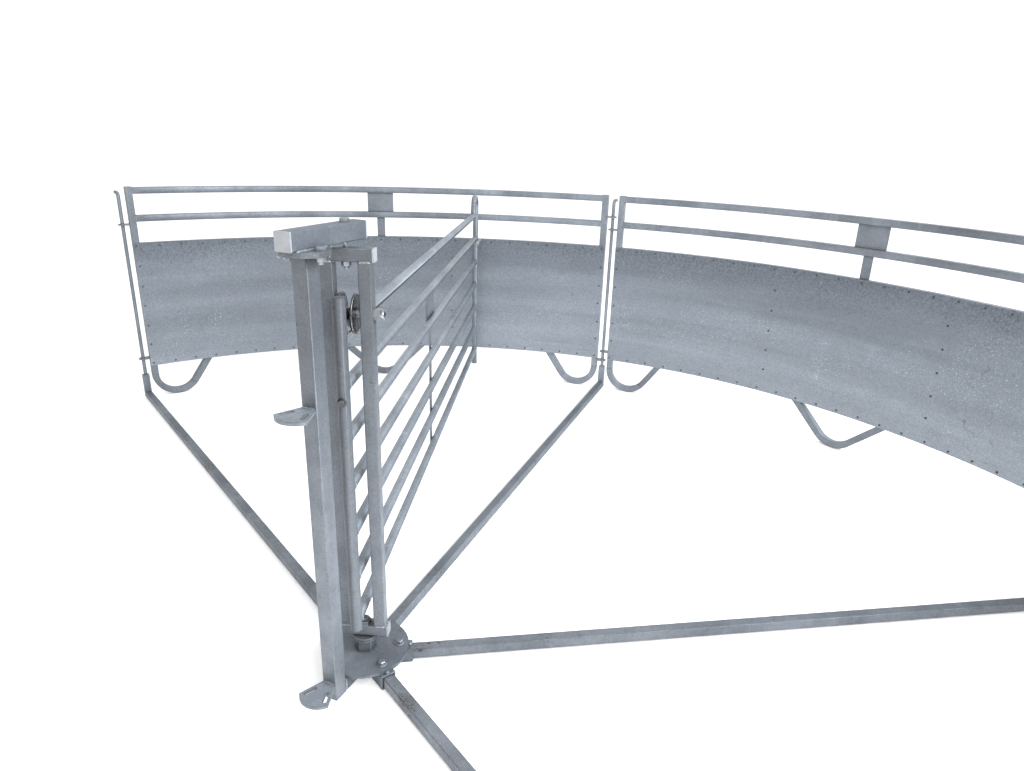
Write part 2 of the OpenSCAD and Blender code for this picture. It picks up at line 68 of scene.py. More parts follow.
# Sizes of the gate
GATE_ANGLE, GATE_REACH = 137.5, 2.308
STILE_BACK, STILE_FACE = 0.070, 0.0143
RAIL_LOW, RAIL_PITCH, RAIL_COUNT = 0.180, 0.1245, 7


# Places
def polar(angle, radius, z=0.0):
    a = math.radians(angle)
    return Vector((radius * math.cos(a), radius * math.sin(a), z))


def on_gate(along, across, z):
    """Point in the gate's frame: along the gate from the pivot, and to its left."""
    return polar(GATE_ANGLE, along) + polar(GATE_ANGLE + 90, across, z)


def on_post(out, side, z):
    """Point in the post's frame: out from its middle, away from the pivot, and to its left."""
    return polar(POST_BEARING, POST_OFFSET + out) + polar(POST_BEARING + 90, side, z)


def on_fence(angle, out, along, z):
    """Point at a place on the fence circle: outwards, and along the fence."""
    return polar(angle, FENCE_R + out) + polar(angle + 90, along, z)


UP = Vector((0, 0, 1))
GATE_WAY = polar(GATE_ANGLE, 1.0)
GATE_LEFT = polar(GATE_ANGLE + 90, 1.0)


# Node helpers
class Graph:
    """A material's node tree with short calls for adding and joining nodes."""

    def __init__(self, name):
        self.mat = bpy.data.materials.new(name)
        self.mat.use_nodes = True
        self.tree = self.mat.node_tree
        self.shader = self.tree.nodes["Principled BSDF"]
        self.coord = self.tree.nodes.new("ShaderNodeTexCoord").outputs["Object"]

    def node(self, kind, **inputs):
        n = self.tree.nodes.new("ShaderNode" + kind)
        for key, value in inputs.items():
            self.put(n.inputs[key.replace("_", " ")], value)
        return n

    def put(self, socket, value):
        if isinstance(value, bpy.types.NodeSocket):
            self.tree.links.new(value, socket)
        else:
            socket.default_value = value

    def noise(self, scale, detail, rough, stretch=None):
        n = self.node("TexNoise", Scale=scale, Detail=detail, Roughness=rough)
        place = self.coord
        if stretch:
            place = self.node("Mapping", Vector=self.coord, Scale=stretch).outputs["Vector"]
        self.put(n.inputs["Vector"], place)
        return n.outputs["Fac"]

    def cells(self, scale):
        return self.node("TexVoronoi", Vector=self.coord, Scale=scale)

    def ramp(self, fac, *stops):
        n = self.node("ValToRGB", Fac=fac)
        e = n.color_ramp.elements
        while len(e) < len(stops):
            e.new(0.5)
        for item, (pos, col) in zip(e, stops):
            item.position = pos
            item.color = (*col, 1) if isinstance(col, tuple) else (col, col, col, 1)
        return n.outputs["Color"]

    def patches(self, scale, detail, rough, low, high, stretch=None):
        """Mask of the patches where a noise is high."""
        return self.ramp(self.noise(scale, detail, rough, stretch), (low, 0.0), (high, 1.0))

    def mix(self, fac, a, b, blend="MIX"):
        n = self.tree.nodes.new("ShaderNodeMix")
        n.data_type = "RGBA"
        n.blend_type = blend
        for socket, value in ((n.inputs[0], fac), (n.inputs[6], a), (n.inputs[7], b)):
            if isinstance(value, tuple):
                value = (*value, 1)
            self.put(socket, value)
        return n.outputs[2]

    def math(self, op, a, b=0.0, c=0.0):
        n = self.tree.nodes.new("ShaderNodeMath")
        n.operation = op
        for socket, value in zip(n.inputs, (a, b, c)):
            self.put(socket, value)
        return n.outputs[0]

    def times(self, a, b):
        return self.math("MULTIPLY", a, b)

    def over(self, col, mask, share, colour):
        """Lays a share of another colour over a colour, where the mask is."""
        return self.mix(self.times(mask, share), col, colour)

    def dot(self, a, b):
        n = self.tree.nodes.new("ShaderNodeVectorMath")
        n.operation = "DOT_PRODUCT"
        self.put(n.inputs[0], a)
        self.put(n.inputs[1], b)
        return n.outputs["Value"]

    def upwards(self, vector):
        n = self.node("SeparateXYZ")
        self.put(n.inputs[0], vector)
        return n.outputs["Z"]

    def normal(self):
        return self.node("NewGeometry").outputs["Normal"]

    def painted_crevice_shade(self, col, reach, depth):
        """Painted shade: darkens the colour in corners and narrow gaps."""
        n = self.node("AmbientOcclusion", Distance=reach)
        n.samples = 4
        keep = self.ramp(n.outputs["AO"], (0.30, 1.0 - depth), (0.85, 1.0))
        return self.mix(1.0, col, keep, "MULTIPLY")

    def painted_underside_shade(self, col, low, side, start):
        """Painted shade: darkens faces that look down, and less so those that look sideways, so those that
        look up stay brightest.
        """
        fac = self.math("MULTIPLY_ADD", self.upwards(self.normal()), 0.5, 0.5)
        return self.mix(1.0, col, self.ramp(fac, (start, low), (0.5, side), (0.88, 1.0)), "MULTIPLY")

    def edges(self, reach):
        """Mask of the edges of a form, where the normal turns within a short reach."""
        soft = self.node("Bevel", Radius=reach)
        soft.samples = 4
        turn = self.dot(soft.outputs["Normal"], self.normal())
        return self.ramp(turn, (0.84, 1.0), (0.985, 0.0))

    def tone(self, col, stops):
        """Painted light and shade: slow change of brightness from the left end of the fence, 0, to its right
        end, 1.
        """
        place = self.math("MULTIPLY_ADD", self.dot(self.coord, (1, 0, 0)), 0.5 / FENCE_R, 0.5)
        n = self.node("FloatCurve", Value=place)
        curve = n.mapping.curves[0]
        while len(curve.points) < len(stops):
            curve.points.new(0.5, 0.5)
        for point, (at, value) in zip(curve.points, stops):
            point.location = (at, value / 2)
        n.mapping.update()
        return self.mix(1.0, col, self.grey(self.times(n.outputs[0], 2.0)), "MULTIPLY")

    def grey(self, value):
        n = self.node("CombineXYZ")
        for socket in n.inputs:
            self.put(socket, value)
        return n.outputs[0]

    def scratches(self, scale, rarity):
        """Mask of thin curved lines, broken up into a few short stretches."""
        line = self.math("ABSOLUTE", self.math("SUBTRACT", self.noise(scale, 2.0, 0.5), 0.5))
        thin = self.ramp(line, (0.0, 1.0), (0.006, 0.0))
        return self.times(thin, self.patches(scale * 1.7, 3.0, 0.6, rarity, rarity + 0.06))

    def uneven(self, scale, detail, low, high):
        """Roughness that varies from place to place."""
        return self.ramp(self.noise(scale, detail, 0.6), (0.3, low), (0.75, high))

    def bump(self, height, strength, distance):
        n = self.node("Bump", Height=height, Strength=strength, Distance=distance)
        self.put(self.shader.inputs["Normal"], n.outputs["Normal"])

    def glow(self, strength):
        self.put(self.shader.inputs["Emission Color"], (1.0, 1.0, 1.0, 1.0))
        self.put(self.shader.inputs["Emission Strength"], strength)

    def finish(self, colour, rough, metallic):
        self.put(self.shader.inputs["Base Color"], colour)
        self.put(self.shader.inputs["Roughness"], rough)
        self.put(self.shader.inputs["Metallic"], metallic)
        return self.mat


def scaled(colour, factor):
    """A colour made lighter or darker."""
    return tuple(min(1.0, c * factor) for c in colour)


# Finishes
DRIED_MUD = (0.125, 0.110, 0.094)
CHIPPED = (0.040, 0.037, 0.034)
THREAD_SHADE = (0.050, 0.060, 0.082)
# Painted light and shade along the fence: brightness factors from its left end, 0, to its right end, 1
TUBE_PAINTED_LIGHT = ((0.0, 0.74), (0.08, 0.80), (0.20, 1.14), (0.34, 1.08), (0.50, 1.0), (1.0, 1.0))
SHEET_PAINTED_LIGHT = ((0.0, 0.88), (0.10, 0.98), (0.20, 1.10), (0.31, 1.04), (0.60, 1.15), (1.0, 1.05))


# below and side: strength of the painted shade on faces that look down and sideways; under: how far from
# straight down the full shade reaches
def zinc(name, light, dark, spangle, dirt, stains=0.35, top=1.0, shine=0.0, marks=0.6, chips=0.0,
         painted_light_stops=None, below=0.40, side=0.90, under=0.06):
    """Dull hot-dip zinc: spangle cells, cloudy patches, pale runs, specks and stains, duller with height;
    painted shade on edges, in corners and gaps and on faces that look down, and a painted highlight on worn
    edges.
    """
    g = Graph(name)
    cloud = g.ramp(g.noise(4.5, 7.0, 0.62), (0.30, dark), (0.72, light))
    cells = g.cells(spangle)
    tint = g.ramp(cells.outputs["Color"], (0.2, 0.84), (0.8, 1.08))
    col = g.mix(0.6, cloud, tint, "MULTIPLY")
    runs = g.patches(11.0, 6.0, 0.68, 0.55, 0.72, (1.0, 1.0, 0.12))
    col = g.over(col, runs, 0.45, scaled(light, 1.28))
    col = g.over(col, g.patches(380.0, 2.0, 0.7, 0.57, 0.68), 0.40, scaled(dark, 0.5))
    col = g.over(col, g.patches(16.0, 8.0, 0.74, 0.58, 0.72), stains, scaled(dark, 0.55))
    col = g.over(col, g.scratches(18.0, 0.56), marks, scaled(dark, 0.4))
    col = g.over(col, g.patches(7.0, 8.0, 0.72, 0.57, 0.66), dirt, DRIED_MUD)
    if chips:
        chip = g.times(g.patches(85.0, 5.0, 0.6, 0.575, 0.595), g.patches(7.0, 3.0, 0.6, 0.57, 0.64))
        col = g.over(col, chip, chips, CHIPPED)
    # Painted shade near the floor, and darker towards the top
    if top < 1.0:
        fade = g.ramp(g.upwards(g.coord), (0.05, 0.86), (0.25, 1.0), (1.0, top))
        col = g.mix(1.0, col, fade, "MULTIPLY")
    # Painted light and shade along the fence
    if painted_light_stops:
        col = g.tone(col, painted_light_stops)
    # Painted shade: dark lines along the edges, broken up by noise
    edge = g.edges(0.0055)
    painted_edge_line_breaks = g.ramp(g.noise(26.0, 4.0, 0.65), (0.36, 0.15), (0.56, 1.0))
    col = g.over(col, g.times(edge, painted_edge_line_breaks), 0.72, scaled(dark, 0.38))
    # Bright patches on the edges: worn edges showing bright zinc, and also a painted highlight
    bare_and_painted_highlight_patches = g.patches(19.0, 4.0, 0.65, 0.56, 0.66)
    col = g.over(col, g.times(edge, bare_and_painted_highlight_patches), 0.55, scaled(light, 1.5))
    # Painted shade on faces that look down and sideways
    col = g.painted_underside_shade(col, below, side, under)
    # Painted shade in corners and narrow gaps
    col = g.painted_crevice_shade(col, 0.014, 0.45)
    g.bump(g.mix(0.4, g.noise(150.0, 4.0, 0.62), cells.outputs["Distance"]), 0.28, 0.0010)
    return g.finish(col, g.uneven(30.0, 5.0, 0.40 - shine, 0.60 - shine), 0.55)


def sheet_zinc():
    """Rolled zinc sheet: dark and speckled along its top, paler below, with soft level bands; the bands and
    the darkening with height are painted reflection, and the glints are painted highlights.
    """
    g = Graph("sheet_zinc_finish")
    z = g.upwards(g.coord)
    # Painted reflection: soft level bands of lighter and darker, darker with height
    wave = g.noise(1.1, 4.0, 0.55, (0.5, 0.5, 2.2))
    lift = g.math("MULTIPLY_ADD", wave, 0.42, g.times(z, -0.62))
    painted_reflection_bands = g.ramp(g.math("ADD", lift, 0.50), (0.10, (0.146, 0.162, 0.185)),
                  (0.34, (0.202, 0.222, 0.250)), (0.62, (0.276, 0.300, 0.333)))
    tint = g.ramp(g.cells(210.0).outputs["Color"], (0.15, 0.84), (0.85, 1.14))
    col = g.mix(0.8, painted_reflection_bands, tint, "MULTIPLY")
    drawn = g.ramp(g.noise(1.0, 4.0, 0.6, (0.45, 0.45, 7.0)), (0.36, 0.86), (0.66, 1.16))
    col = g.mix(0.9, col, drawn, "MULTIPLY")
    wavy = g.math("MULTIPLY_ADD", g.noise(3.0, 4.0, 0.6), 0.16, z)
    top = g.node("MapRange", Value=wavy, From_Min=0.70, From_Max=0.86, To_Min=0.0, To_Max=1.0).outputs[0]
    grain = g.patches(105.0, 5.0, 0.78, 0.44, 0.60)
    col = g.over(col, g.times(grain, top), 0.88, (0.092, 0.106, 0.126))
    col = g.over(col, g.patches(260.0, 3.0, 0.7, 0.58, 0.70), 0.28, (0.14, 0.155, 0.178))
    glint = g.patches(170.0, 3.0, 0.7, 0.58, 0.68)
    where = g.patches(3.2, 5.0, 0.6, 0.46, 0.64, (1.0, 1.0, 2.0))
    where = g.times(where, g.math("SUBTRACT", 1.0, top))
    col = g.over(col, g.times(glint, where), 0.75, (0.62, 0.66, 0.70))
    col = g.over(col, g.scratches(7.0, 0.60), 0.7, (0.085, 0.095, 0.11))
    # Painted light and shade along the fence
    col = g.tone(col, SHEET_PAINTED_LIGHT)
    swell = g.noise(1.3, 2.0, 0.5, (0.8, 0.8, 2.2))
    g.bump(g.mix(0.02, swell, g.noise(190.0, 3.0, 0.6)), 0.5, 0.035)
    return g.finish(col, g.uneven(14.0, 5.0, 0.36, 0.54), 0.62)


def pivot_zinc():
    """Pivot nut and washer: dark and greasy, with bright corners that are worn and also a painted highlight,
    and painted shade in their gaps.
    """
    g = Graph("pivot_zinc_finish")
    col = g.ramp(g.noise(34.0, 5.0, 0.62), (0.3, (0.105, 0.114, 0.128)), (0.72, (0.195, 0.208, 0.226)))
    col = g.over(col, g.patches(70.0, 6.0, 0.7, 0.55, 0.68), 0.6, (0.05, 0.052, 0.056))
    # Bright corners: wear and also a painted highlight
    col = g.over(col, g.edges(0.0034), 0.75, (0.52, 0.545, 0.58))
    # Painted shade in corners and narrow gaps
    col = g.painted_crevice_shade(col, 0.016, 0.80)
    g.bump(g.noise(240.0, 3.0, 0.6), 0.18, 0.0006)
    return g.finish(col, g.uneven(120.0, 4.0, 0.34, 0.52), 0.6)


def bright_zinc(name, thread_end=False):
    """Zinc-plated bolts and nuts: shiny, with worn dark patches and bright corners as a painted highlight."""
    g = Graph(name)
    col = g.ramp(g.noise(60.0, 5.0, 0.6), (0.3, (0.24, 0.255, 0.28)), (0.75, (0.40, 0.42, 0.45)))
    col = g.over(col, g.patches(110.0, 6.0, 0.7, 0.54, 0.68), 0.6, (0.12, 0.125, 0.13))
    # Painted highlight on the corners
    col = g.over(col, g.edges(0.0012), 0.5, (0.58, 0.60, 0.63))
    if thread_end:
        past = g.math("SUBTRACT", g.dot(g.coord, -GATE_LEFT), AXLE_END)
        col = g.mix(g.math("GREATER_THAN", past, 0.0), col, THREAD_SHADE)
    # Painted shade in corners and narrow gaps
    col = g.painted_crevice_shade(col, 0.008, 0.55)
    g.bump(g.noise(260.0, 3.0, 0.6), 0.18, 0.0006)
    return g.finish(col, g.uneven(140.0, 3.0, 0.34, 0.52), 0.85)


def roller_steel():
    """Turned steel: dark greasy faces and groove, with paler patches."""
    g = Graph("roller_steel_finish")
    col = g.ramp(g.noise(40.0, 5.0, 0.65), (0.3, (0.060, 0.061, 0.064)),
                 (0.6, (0.105, 0.107, 0.112)), (0.8, (0.19, 0.193, 0.20)))
    g.bump(g.noise(300.0, 2.0, 0.5), 0.1, 0.0004)
    return g.finish(col, g.uneven(90.0, 4.0, 0.18, 0.42), 0.95)


def cap_plastic():
    """Light grey plastic plugs, scuffed."""
    g = Graph("cap_plastic_finish")
    col = g.ramp(g.noise(35.0, 6.0, 0.65), (0.25, (0.27, 0.28, 0.295)), (0.75, (0.36, 0.37, 0.385)))
    col = g.over(col, g.patches(60.0, 8.0, 0.75, 0.60, 0.74), 0.4, (0.24, 0.245, 0.25))
    # Painted shade in corners and narrow gaps, such as the groove against the tube
    col = g.painted_crevice_shade(col, 0.006, 0.6)
    g.bump(g.noise(400.0, 2.0, 0.5), 0.12, 0.0004)
    return g.finish(col, g.uneven(80.0, 4.0, 0.5, 0.68), 0.0)


def screw_dark():
    """Small screw heads, dull and dark."""
    g = Graph("screw_dark_finish")
    col = g.ramp(g.noise(200.0, 4.0, 0.6), (0.3, (0.045, 0.05, 0.058)), (0.75, (0.12, 0.128, 0.14)))
    return g.finish(col, g.uneven(300.0, 3.0, 0.4, 0.6), 0.6)


def worn_steel():
    """Bare steel polished by use."""
    g = Graph("worn_steel_finish")
    col = g.ramp(g.noise(70.0, 5.0, 0.65), (0.3, (0.34, 0.34, 0.345)), (0.7, (0.50, 0.505, 0.51)))
    g.bump(g.noise(300.0, 2.0, 0.5), 0.1, 0.0004)
    return g.finish(col, g.uneven(120.0, 4.0, 0.22, 0.36), 1.0)


def weld_metal():
    """Zinc over a weld bead: bright, lumpy."""
    g = Graph("weld_metal_finish")
    col = g.ramp(g.noise(220.0, 5.0, 0.7), (0.3, (0.17, 0.185, 0.21)), (0.7, (0.44, 0.465, 0.50)))
    g.bump(g.noise(380.0, 4.0, 0.65), 0.5, 0.0015)
    return g.finish(col, g.uneven(300.0, 3.0, 0.30, 0.5), 0.75)


FINISH = {
    "tube_zinc": zinc("tube_zinc_finish", (0.325, 0.351, 0.388), (0.185, 0.205, 0.233),
                      spangle=240.0, dirt=0.10, painted_light_stops=TUBE_PAINTED_LIGHT),
    "hub_zinc": zinc("hub_zinc_finish", (0.272, 0.296, 0.332), (0.152, 0.170, 0.196),
                     spangle=240.0, dirt=0.16, stains=0.45, top=0.80, shine=-0.16),
    "lug_zinc": zinc("lug_zinc_finish", (0.345, 0.374, 0.418), (0.195, 0.218, 0.250),
                     spangle=240.0, dirt=0.16, stains=0.45, top=0.92, shine=-0.16),
    "post_zinc": zinc("post_zinc_finish", (0.318, 0.340, 0.373), (0.190, 0.206, 0.231),
                      spangle=260.0, dirt=0.12, stains=0.45, top=0.62),
    "stile_zinc": zinc("stile_zinc_finish", (0.265, 0.283, 0.310), (0.158, 0.171, 0.192),
                       spangle=260.0, dirt=0.14, stains=0.45, top=0.62, shine=-0.08),
    # Rails carry a stronger painted shade on faces that look down
    "rail_zinc": zinc("rail_zinc_finish", (0.365, 0.392, 0.432), (0.205, 0.225, 0.256),
                      spangle=240.0, dirt=0.08, shine=0.03, marks=0.2, below=0.26, side=0.66, under=0.27),
    "spoke_zinc": zinc("spoke_zinc_finish", (0.268, 0.288, 0.318), (0.134, 0.146, 0.164),
                       spangle=220.0, dirt=0.5, stains=0.6, shine=-0.12, chips=0.85),
    "pivot_zinc": pivot_zinc(),
    "sheet_zinc": sheet_zinc(),
    "bright_zinc": bright_zinc("bright_zinc_finish"),
    "axle_zinc": bright_zinc("axle_zinc_finish", thread_end=True),
    "roller_steel": roller_steel(),
    "cap_plastic": cap_plastic(),
    "screw_dark": screw_dark(),
    "weld_metal": weld_metal(),
    "worn_steel": worn_steel(),
}

# Nodes whose finish is not the one of their slot; the four spokes share a name
SPECIAL = {
    "post_zinc": ("centre_post", "post_flange", "arm_flange", "frame_uprights", "frame_top_tube",
                  "frame_bottom_tube"),
    "rail_zinc": ("gate_top_rail", "gate_rails", "gate_hump_leg", "gate_hump_bend", "gate_far_stile"),
    "hub_zinc": ("hub_plate", "hub_sockets", "post_foot_beam", "top_arm", "gate_brace"),
    "lug_zinc": ("post_lugs",),
    "spoke_zinc": ("spoke",),
    "tube_zinc": ("joint_rods",),
    "stile_zinc": ("gate_near_stile",),
    "pivot_zinc": ("lower_pivot",),
    "axle_zinc": ("roller_axle",),
}
FINISH_OF = {node: finish for finish, nodes in SPECIAL.items() for node in nodes}

# Words in the names of nodes whose edges are rounded
ROUNDED = ("_posts", "_rails", "_foot", "_feet", "_caps", "spoke", "socket", "latch")
EDGE_ROUND, EDGE_STEPS, EDGE_ANGLE = 0.0022, 2, math.radians(40)
WELD_REACH = 0.00002

for part in frame["record"]["subparts"]:
    name = part["node"]
    obj = frame["nodes"][name]
    obj.data.materials.clear()
    obj.data.materials.append(FINISH[FINISH_OF.get(name.rstrip("_1234"), part["material_slot"])])
    obj.modifiers.new("weld", "WELD").merge_threshold = WELD_REACH
    if any(word in name for word in ROUNDED):
        bevel = obj.modifiers.new("edges", "BEVEL")
        bevel.width, bevel.segments = EDGE_ROUND, EDGE_STEPS
        bevel.limit_method, bevel.angle_limit = "ANGLE", EDGE_ANGLE
        bevel.harden_normals = True


# Mesh helpers
SMOOTH_ANGLE = math.radians(38)


class Pieces:
    """Gathers many small forms of one kind into one mesh that rides on a body."""

    def __init__(self, name, body, finish, slot):
        self.name, self.body, self.finish, self.slot = name, body, finish, slot
        self.bm = bmesh.new()

    def add(self, matrix, make):
        start = len(self.bm.verts)
        make(self.bm)
        self.bm.verts.ensure_lookup_table()
        bmesh.ops.transform(self.bm, matrix=matrix, verts=self.bm.verts[start:])

    def done(self):
        mesh = bpy.data.meshes.new(self.name)
        bmesh.ops.recalc_face_normals(self.bm, faces=self.bm.faces)
        self.bm.to_mesh(mesh)
        self.bm.free()
        for p in mesh.polygons:
            p.use_smooth = True
        o = bpy.data.objects.new(self.name, mesh)
        bpy.context.collection.objects.link(o)
        mesh.materials.append(FINISH[self.finish])
        o.modifiers.new("edges", "EDGE_SPLIT").split_angle = SMOOTH_ANGLE
        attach(o, self.body)


def circle(radius, count, z=0.0):
    """Points round Z."""
    turns = [2 * math.pi * i / count for i in range(count)]
    return [Vector((radius * math.cos(t), radius * math.sin(t), z)) for t in turns]


def facing(point, direction, spin=0.0):
    """Matrix that stands a form's Z axis along direction at point."""
    q = Vector(direction).to_track_quat("Z", "Y")
    return Matrix.Translation(point) @ q.to_matrix().to_4x4() @ Matrix.Rotation(spin, 4, "Z")


def ring(centre, axis, radius, count=12):
    """Points round an axis."""
    m = facing(centre, axis)
    return [m @ p for p in circle(radius, count)]


def lathe(bm, profile, sides):
    """Turned form round Z from (radius, height) pairs; a zero radius closes it."""
    rings = []
    for r, z in profile:
        points = circle(r, sides, z) if r else [Vector((0, 0, z))]
        rings.append([bm.verts.new(p) for p in points])
    for a, b in zip(rings, rings[1:]):
        for i in range(sides):
            j = (i + 1) % sides
            if len(a) == 1 and len(b) > 1:
                bm.faces.new((a[0], b[i], b[j]))
            elif len(b) == 1 and len(a) > 1:
                bm.faces.new((a[i], a[j], b[0]))
            elif len(a) > 1:
                bm.faces.new((a[i], a[j], b[j], b[i]))


def screw_head(bm):
    """Self-drilling screw: pressed washer and small hexagon head, 10 mm across."""
    lathe(bm, ((0, 0), (0.0050, 0), (0.0050, 0.0006), (0.0041, 0.0012), (0.0036, 0.0012)), 14)
    lathe(bm, ((0.0036, 0.0012), (0.0035, 0.0034), (0.0028, 0.0040), (0, 0.0040)), 6)


def hex_bolt(flats, height, washer=0.0):
    """Maker of a hexagon head with a chamfered top and, where it has one, a washer under it."""
    r = flats / 2 / math.cos(math.pi / 6)
    w = washer / 2

    def make(bm):
        base = 0.0
        if washer:
            lathe(bm, ((0, 0), (w, 0), (w, 0.0020), (w - 0.0008, 0.0026), (0, 0.0026)), 24)
            base = 0.0025
        top, chamfer = base + height, base + height * 0.88
        lathe(bm, ((0, base), (r, base), (r, chamfer), (r * 0.88, top), (0, top)), 6)

    return make


def drip(bm):
    """Run of zinc that froze as it hung from an edge, 1 unit long."""
    lathe(bm, ((0, 0.25), (0.42, 0.10), (0.46, -0.15), (0.30, -0.55), (0.14, -0.85), (0, -1.0)), 8)


RIPPLE, WANDER, BEAD_SIDES = 0.0035, 0.0004, 8


def bead(pieces, start, end, width):
    """Weld bead along a straight line: a chain of overlapping ripples."""
    run = end - start
    count = max(4, int(run.length / RIPPLE))
    axis = run.normalized()
    side = axis.orthogonal().normalized()
    up = axis.cross(side)
    rings = []
    bm = pieces.bm
    for i in range(count + 1):
        r = 0.5 * width * (0.82 + 0.22 * (i % 2) + rng.uniform(-0.10, 0.10))
        if i in (0, count):
            r *= 0.4
        c = start + run * (i / count)
        c = c + side * rng.uniform(-WANDER, WANDER) + up * rng.uniform(-WANDER, WANDER)
        rings.append([bm.verts.new(c + side * p.x + up * p.y) for p in circle(r, BEAD_SIDES)])
    for a, b in zip(rings, rings[1:]):
        for k in range(BEAD_SIDES):
            m = (k + 1) % BEAD_SIDES
            bm.faces.new((a[k], a[m], b[m], b[k]))
    bm.faces.new(rings[0])
    bm.faces.new(list(reversed(rings[-1])))


def bead_loop(pieces, points, width):
    for a, b in zip(points, points[1:] + points[:1]):
        bead(pieces, a, b, width)


# Screws along the sheets' edges and up their ends and stiffeners
SCREW_INSET, EDGE_GAPS, RISE_GAPS = 0.014, 24, 6
SCREW_LOW, SCREW_HIGH = SHEET_LOW + SCREW_INSET, SHEET_HIGH - SCREW_INSET
SCREW_TURN = HALF_PANEL - math.degrees(math.asin(TUBE / FENCE_R)) - 0.35
RISE = [SCREW_LOW + (SCREW_HIGH - SCREW_LOW) * i / RISE_GAPS for i in range(1, RISE_GAPS)]
for number, angle in enumerate(PANEL_ANGLES, 1):
    screws = Pieces(f"sheet_screws_{number}", "base", "screw_dark", "bright_zinc")
    spread = [angle - SCREW_TURN + 2 * SCREW_TURN * i / EDGE_GAPS for i in range(EDGE_GAPS + 1)]
    places = [(a, z) for a in spread for z in (SCREW_LOW, SCREW_HIGH)]
    columns = [angle + side * turn for side in (-1, 1) for turn in (SCREW_TURN, STIFFENER_ANGLE)]
    places += [(a, z) for a in columns for z in RISE]
    for a, z in places:
        a += rng.uniform(-0.05, 0.05)
        z += rng.uniform(-0.0015, 0.0015)
        screws.add(facing(polar(a, SHEET_R, z), -polar(a, 1.0), rng.uniform(0, 1)), screw_head)
    screws.done()

# Bolts over each spoke: distance out, seat, width across flats, height and washer
HUB_BOLTS = ((0.088, HUB_TOP, 0.017, 0.009, 0.026), (0.1165, SOCKET_TOP, 0.010, 0.007, 0.0))
hub_bolts = Pieces("hub_bolts", "base", "bright_zinc", "bright_zinc")
for angle in SPOKE_ANGLES:
    for out, seat, flats, height, washer in HUB_BOLTS:
        place = facing(polar(angle, out, seat), UP, rng.uniform(0, 1))
        hub_bolts.add(place, hex_bolt(flats, height, washer))
hub_bolts.done()

# Stop bolt on the gate's near stile
STOP_Z, STOP_SPIN = 0.772, 0.3
stop = Pieces("stile_stop_bolt", "gate", "roller_steel", "bright_zinc")
place = facing(on_gate(-STILE_BACK - STILE_FACE, 0, STOP_Z), -GATE_WAY, STOP_SPIN)
stop.add(place, hex_bolt(0.016, 0.0065, 0.021))
stop.done()

# Collar of the lock nut on the roller's axle
COLLAR = ((0.0112, -0.0010), (0.0116, 0.0), (0.0116, 0.0068), (0.0108, 0.0082), (0.0092, 0.0086),
          (0.0084, 0.0080), (0.0082, 0.0060))
collar = Pieces("axle_nut_collar", "frame", "worn_steel", "bright_zinc")
collar.add(facing(on_gate(0, -NUT_FACE, ROLLER_Z), -GATE_LEFT), lambda bm: lathe(bm, COLLAR, 32))
collar.done()

# Worn rims on both faces of the roller
RIM = ((0.0480, -0.0012), (0.0480, 0.0004), (0.0470, 0.0012), (0.0440, 0.0012), (0.0430, -0.0002))
rims = Pieces("roller_rims", "roller", "worn_steel", "roller_steel")
for side in (-1, 1):
    face = facing(on_gate(0, side * ROLLER_HALF, ROLLER_Z), GATE_LEFT * side)
    rims.add(face, lambda bm: lathe(bm, RIM, 64))
rims.done()

# Widths of weld beads, and how far short of a corner they stop
WIDE, MEDIUM, SLIM, THIN, RAIL_BEAD, EYE_BEAD = 0.0065, 0.0060, 0.0055, 0.0050, 0.0048, 0.0045
SHORT = 0.002

# Weld beads of the swing frame: round both ends of its uprights
welds = Pieces("frame_welds", "frame", "weld_metal", "tube_zinc")
h = HALF_TUBE
near, far = FRAME_GAP / 2, FRAME_GAP / 2 + TUBE
for side in (-1, 1):
    for z in (FRAME_Z + TUBE, FRAME_TOP - TUBE):
        for x in (-h, h):
            bead(welds, on_gate(x, side * (near + SHORT), z), on_gate(x, side * (far - SHORT), z), WIDE)
        for y, width in ((far, SLIM), (near, THIN)):
            bead(welds, on_gate(-h + SHORT, side * y, z), on_gate(h - SHORT, side * y, z), width)
welds.done()

# Weld beads of the centre post: under its flange, along the arm, at the lugs and at its foot
ARM_BEAD, FOOT_BEAD, LUG_BEAD = 0.046, (0.002, 0.038), 0.017
FLANGE_BEAD_Z = POST_TOP - 0.001
welds = Pieces("post_welds", "base", "weld_metal", "tube_zinc")
h = HALF_POST
corners = ((h, -h), (h, h), (-h, h), (-h, -h))
bead_loop(welds, [on_post(n, t, FLANGE_BEAD_Z) for n, t in corners], WIDE)
for side in (-1, 1):
    bead(welds, on_post(-ARM_BEAD, side * h, ARM_Z), on_post(ARM_BEAD, side * h, ARM_Z), MEDIUM)
    bead(welds, on_post(-h, side * h, FOOT_BEAD[0]), on_post(-h, side * h, FOOT_BEAD[1]), MEDIUM)
for top in LUG_TOPS:
    for z, width in ((top, MEDIUM), (top - LUG_THICK, SLIM)):
        bead(welds, on_post(h, -LUG_BEAD, z), on_post(h, LUG_BEAD, z), width)
bead(welds, on_post(-h, -h + SHORT, HUB_TOP), on_post(-h, h - SHORT, HUB_TOP), WIDE)
welds.done()

# Weld beads of the gate: round each rail at both stiles
NEAR_JOIN, NEAR_RING, FAR_JOIN, FAR_RING = 0.0160, 0.0132, 0.0152, 0.0130
welds = Pieces("gate_welds", "gate", "weld_metal", "tube_zinc")
for i in range(RAIL_COUNT):
    z = RAIL_LOW + i * RAIL_PITCH
    bead_loop(welds, ring(on_gate(NEAR_JOIN - STILE_BACK, 0, z), GATE_WAY, NEAR_RING), RAIL_BEAD)
    if i < RAIL_COUNT - 1:
        bead_loop(welds, ring(on_gate(GATE_REACH - FAR_JOIN, 0, z), GATE_WAY, FAR_RING), RAIL_BEAD)
welds.done()

